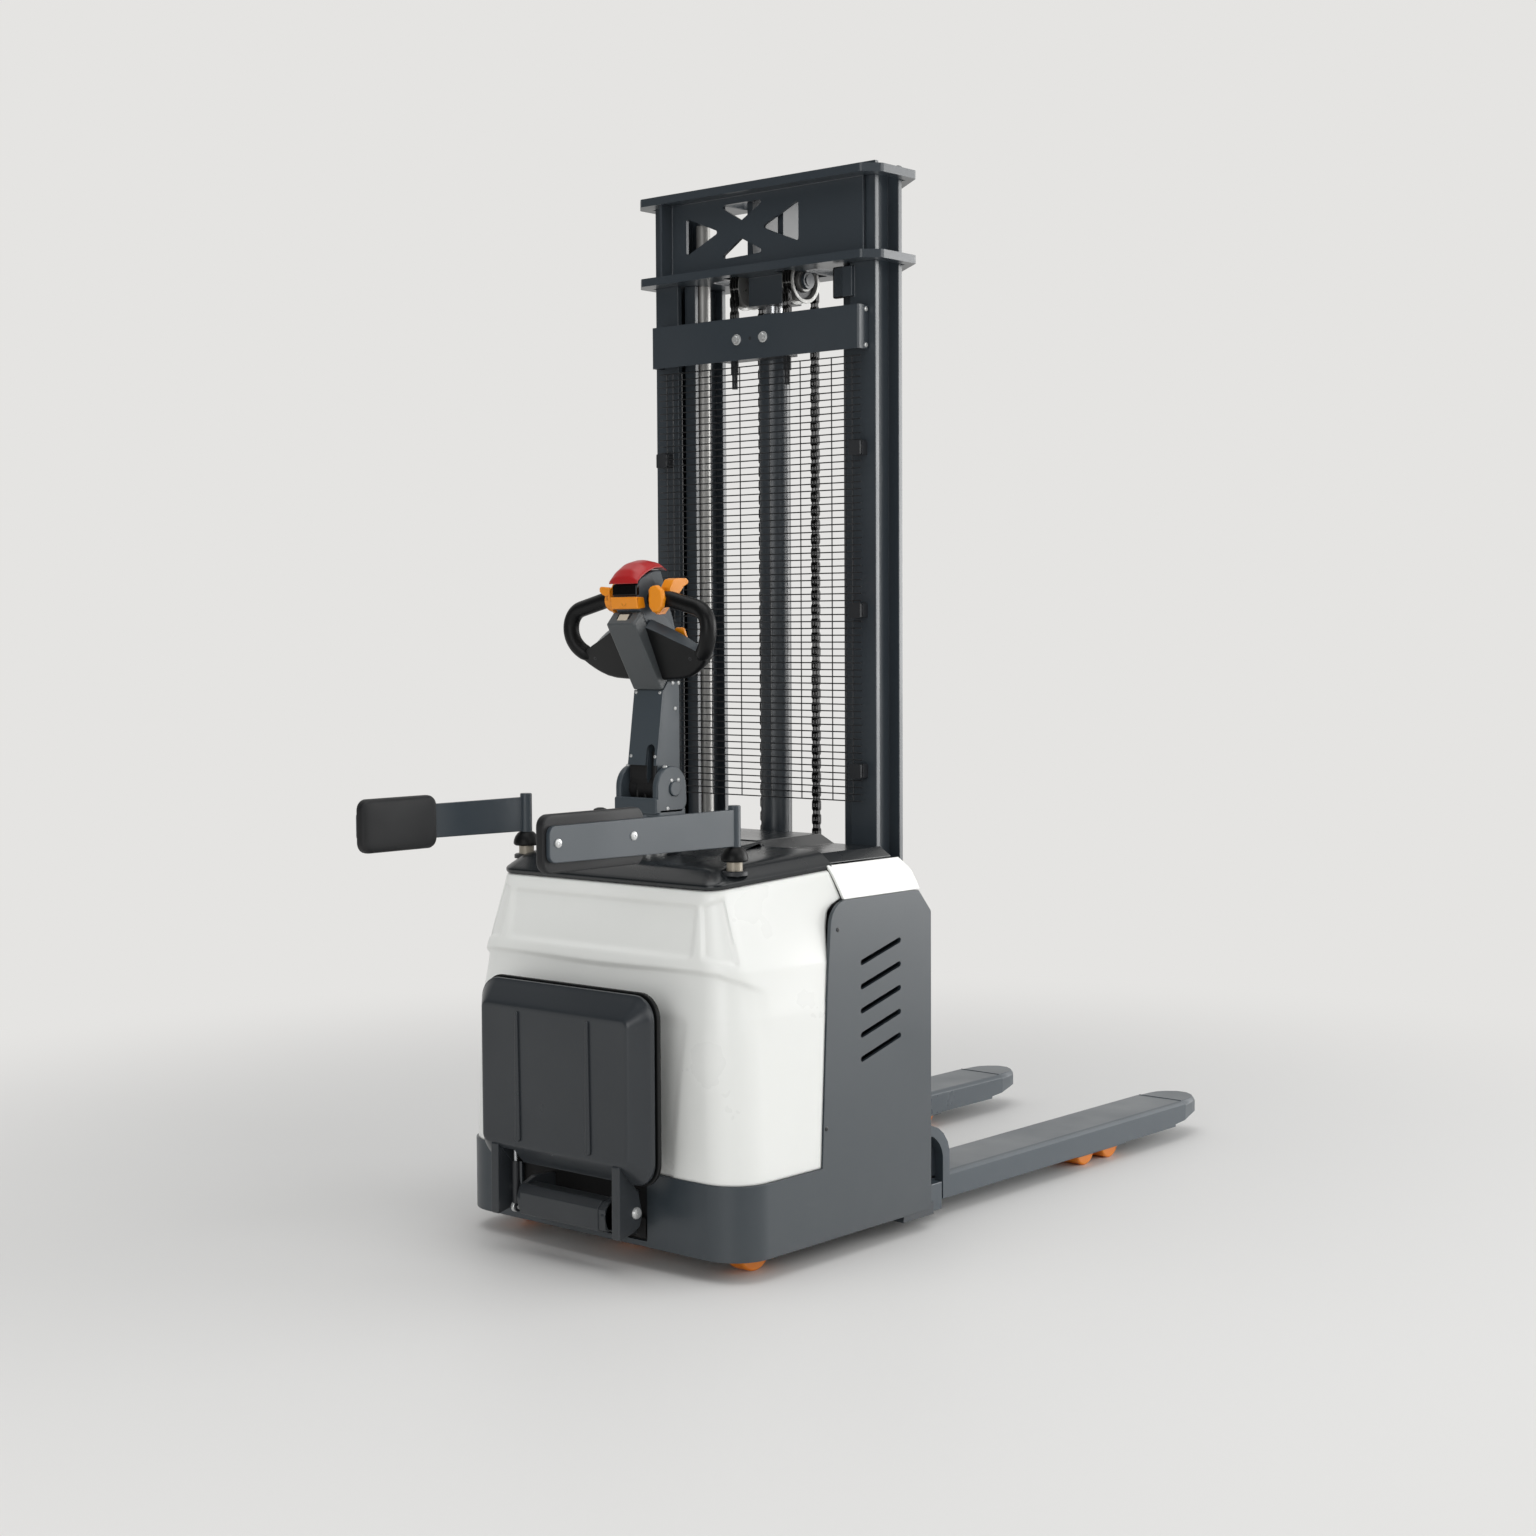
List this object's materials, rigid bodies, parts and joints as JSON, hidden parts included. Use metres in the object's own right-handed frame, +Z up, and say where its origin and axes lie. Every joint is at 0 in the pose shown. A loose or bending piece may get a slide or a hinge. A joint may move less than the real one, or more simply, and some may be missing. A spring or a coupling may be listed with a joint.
{
  "type": "electric stacker",
  "caption": "Walk-and-ride electric pallet stacker with a telescopic mast, long forks over support legs, a tilting tiller, folding operator pedal and padded side arms.",
  "frame": {"origin": "on the floor under the middle of the bounding box", "axes": "+X to the right seen from the operator's place, +Y forward to the fork tips, +Z up"},
  "size_m": [0.833, 2.344, 2.328],
  "materials": {
    "anthracite": "satin paint",
    "fork_paint": "satin paint",
    "white_cover": "semi-gloss moulded",
    "black_deck": "gloss moulded",
    "black_plastic": "fine grain",
    "grey_plastic": "fine grain",
    "black_rubber": "matte",
    "red_plastic": "satin",
    "yellow_plastic": "satin",
    "orange_tyre": "cast polyurethane",
    "chrome_rod": "polished",
    "bright_steel": "bright zinc",
    "black_steel": "satin paint",
    "battery_case": "moulded",
    "cast_housing": "cast and painted",
    "aluminium_case": "bead blasted"
  },
  "bodies": {
    "chassis": {"skirt_frame": "anthracite", "base_plate": "anthracite", "support_legs": "fork_paint", "outer_rails": "anthracite", "mast_crossbar": "anthracite", "chassis_bolts": "bright_steel", "chain_anchors": "bright_steel", "mesh_guard": "black_steel", "mesh_clips": "black_steel", "lift_barrel": "black_steel", "side_barrels": "bright_steel", "rear_cover": "white_cover", "shoulder_covers": "white_cover", "top_deck": "black_deck", "battery_pack": "battery_case", "hydraulic_unit": "cast_housing", "motor_controller": "aluminium_case", "pedal_hinge": "black_steel", "arm_sockets": "black_rubber", "chain_rear": "bright_steel"},
    "steering": {"tiller_yoke": "black_plastic", "steering_column": "bright_steel", "drive_unit": "cast_housing"},
    "drive_wheel": {"drive_wheel": "orange_tyre"},
    "tiller": {"tiller_arm": "black_plastic", "tiller_panel": "black_plastic", "tiller_wedge": "grey_plastic", "tiller_head": "grey_plastic", "tiller_loops": "black_rubber", "tiller_wing": "black_plastic"},
    "belly_button": {"belly_button": "red_plastic"},
    "horn_bar": {"horn_bar": "yellow_plastic"},
    "thumb_levers": {"thumb_levers": "yellow_plastic"},
    "lift_button": {"lift_button": "yellow_plastic"},
    "disconnect_knob": {"disconnect_knob": "black_plastic"},
    "battery_lid": {"battery_lid": "black_deck"},
    "arm_left": {"arm_left": "black_steel", "arm_pad_left": "black_rubber"},
    "arm_right": {"arm_right": "black_steel", "arm_pad_right": "black_rubber"},
    "pedal": {"pedal_tray": "anthracite", "pedal_platform": "black_rubber"},
    "gas_barrel": {"gas_barrel": "black_steel"},
    "gas_rod": {"gas_rod": "chrome_rod"},
    "inner_mast": {"inner_rails": "anthracite", "mast_head": "anthracite", "lift_rods": "chrome_rod", "chain_front": "bright_steel"},
    "pulley_left": {"pulley_left": "bright_steel"},
    "pulley_right": {"pulley_right": "bright_steel"},
    "carriage": {"carriage_frame": "anthracite", "forks": "fork_paint"},
    "load_wheel_left_rear": {"load_wheel_left_rear": "orange_tyre"},
    "load_wheel_left_front": {"load_wheel_left_front": "orange_tyre"},
    "load_wheel_right_rear": {"load_wheel_right_rear": "orange_tyre"},
    "load_wheel_right_front": {"load_wheel_right_front": "orange_tyre"},
    "caster_fork_left": {"caster_fork_left": "bright_steel"},
    "caster_fork_right": {"caster_fork_right": "bright_steel"},
    "caster_wheel_left": {"caster_wheel_left": "orange_tyre"},
    "caster_wheel_right": {"caster_wheel_right": "orange_tyre"}
  },
  "joints": [
    {"name": "steer", "type": "hinge", "parent": "chassis", "child": "steering", "pos_m": [0, -0.554, 0.5], "axis": [0, 0, 1], "range_deg": [-90, 90]},
    {"name": "drive_spin", "type": "hinge", "parent": "steering", "child": "drive_wheel", "pos_m": [0, -0.554, 0.115], "axis": [1, 0, 0], "continuous": true},
    {"name": "tiller_tilt", "type": "hinge", "parent": "steering", "child": "tiller", "pos_m": [0, -0.547, 0.983], "axis": [1, 0, 0], "range_deg": [0, 65], "stiffness_Nm_per_rad": 20, "springref_deg": -40.11},
    {"name": "belly_press", "type": "slide", "parent": "tiller", "child": "belly_button", "axis": [0, 0, -1], "range_m": [0, 0.004], "stiffness_N_per_m": 600, "springref_m": -0.003},
    {"name": "horn_press", "type": "slide", "parent": "tiller", "child": "horn_bar", "axis": [0, 1, 0], "range_m": [0, 0.002], "stiffness_N_per_m": 500, "springref_m": -0.001},
    {"name": "thumb_turn", "type": "hinge", "parent": "tiller", "child": "thumb_levers", "pos_m": [0, -0.591, 1.386], "axis": [1, 0, 0], "range_deg": [-25, 25], "stiffness_Nm_per_rad": 0.8},
    {"name": "lift_press", "type": "slide", "parent": "tiller", "child": "lift_button", "axis": [0, -0.9063, -0.4226], "range_m": [0, 0.002], "stiffness_N_per_m": 500, "springref_m": -0.001},
    {"name": "knob_pull", "type": "slide", "parent": "chassis", "child": "disconnect_knob", "axis": [0, 0, 1], "range_m": [0, 0.012]},
    {"name": "lid_open", "type": "hinge", "parent": "chassis", "child": "battery_lid", "pos_m": [0, -0.199, 0.846], "axis": [-1, 0, 0], "range_deg": [0, 70]},
    {"name": "arm_left_swing", "type": "hinge", "parent": "chassis", "child": "arm_left", "pos_m": [-0.308, -0.632, 0.9], "axis": [0, 0, -1], "range_deg": [0, 90]},
    {"name": "arm_right_swing", "type": "hinge", "parent": "chassis", "child": "arm_right", "pos_m": [0.308, -0.632, 0.9], "axis": [0, 0, 1], "range_deg": [0, 90]},
    {"name": "pedal_fold", "type": "hinge", "parent": "chassis", "child": "pedal", "pos_m": [0, -0.808, 0.135], "axis": [1, 0, 0], "range_deg": [0, 90], "stiffness_Nm_per_rad": 60, "springref_deg": -34.38},
    {"name": "gas_swing", "type": "hinge", "parent": "chassis", "child": "gas_barrel", "pos_m": [-0.146, -0.826, 0.1], "axis": [1, 0, 0], "range_deg": [-1, 84]},
    {"name": "gas_stroke", "type": "slide", "parent": "gas_barrel", "child": "gas_rod", "axis": [0, 0, 1], "range_m": [-0.054, 0.001]},
    {"name": "mast_lift", "type": "slide", "parent": "chassis", "child": "inner_mast", "axis": [0, 0, 1], "range_m": [0, 1.5], "deforming": ["chain_rear"]},
    {"name": "carriage_lift", "type": "slide", "parent": "inner_mast", "child": "carriage", "axis": [0, 0, 1], "range_m": [0, 1.5], "deforming": ["chain_front"]},
    {"name": "pulley_left_spin", "type": "hinge", "parent": "inner_mast", "child": "pulley_left", "pos_m": [-0.078, -0.1385, 2.098], "axis": [1, 0, 0], "range_deg": [-1850, 5]},
    {"name": "pulley_right_spin", "type": "hinge", "parent": "inner_mast", "child": "pulley_right", "pos_m": [0.078, -0.1385, 2.098], "axis": [1, 0, 0], "range_deg": [-1850, 5]},
    {"name": "load_wheel_left_rear_spin", "type": "hinge", "parent": "chassis", "child": "load_wheel_left_rear", "pos_m": [-0.288, 0.641, 0.04], "axis": [1, 0, 0], "continuous": true},
    {"name": "load_wheel_left_front_spin", "type": "hinge", "parent": "chassis", "child": "load_wheel_left_front", "pos_m": [-0.288, 0.751, 0.04], "axis": [1, 0, 0], "continuous": true},
    {"name": "load_wheel_right_rear_spin", "type": "hinge", "parent": "chassis", "child": "load_wheel_right_rear", "pos_m": [0.288, 0.641, 0.04], "axis": [1, 0, 0], "continuous": true},
    {"name": "load_wheel_right_front_spin", "type": "hinge", "parent": "chassis", "child": "load_wheel_right_front", "pos_m": [0.288, 0.751, 0.04], "axis": [1, 0, 0], "continuous": true},
    {"name": "caster_left_swivel", "type": "hinge", "parent": "chassis", "child": "caster_fork_left", "pos_m": [-0.318, -0.634, 0.17], "axis": [0, 0, 1], "continuous": true},
    {"name": "caster_left_spin", "type": "hinge", "parent": "caster_fork_left", "child": "caster_wheel_left", "pos_m": [-0.318, -0.609, 0.05], "axis": [1, 0, 0], "continuous": true},
    {"name": "caster_right_swivel", "type": "hinge", "parent": "chassis", "child": "caster_fork_right", "pos_m": [0.318, -0.634, 0.17], "axis": [0, 0, 1], "continuous": true},
    {"name": "caster_right_spin", "type": "hinge", "parent": "caster_fork_right", "child": "caster_wheel_right", "pos_m": [0.318, -0.609, 0.05], "axis": [1, 0, 0], "continuous": true}
  ],
  "couplings": [
    {"joint": "carriage_lift", "follows": "mast_lift", "ratio": 1},
    {"joint": "pulley_left_spin", "follows": "mast_lift", "rad_per_m": -20.833},
    {"joint": "pulley_right_spin", "follows": "mast_lift", "rad_per_m": -20.833},
    {"joint": "gas_swing", "follows": "pedal_fold", "ratio": 0.9013},
    {"joint": "gas_stroke", "follows": "pedal_fold", "m_per_rad": -0.0329}
  ]
}
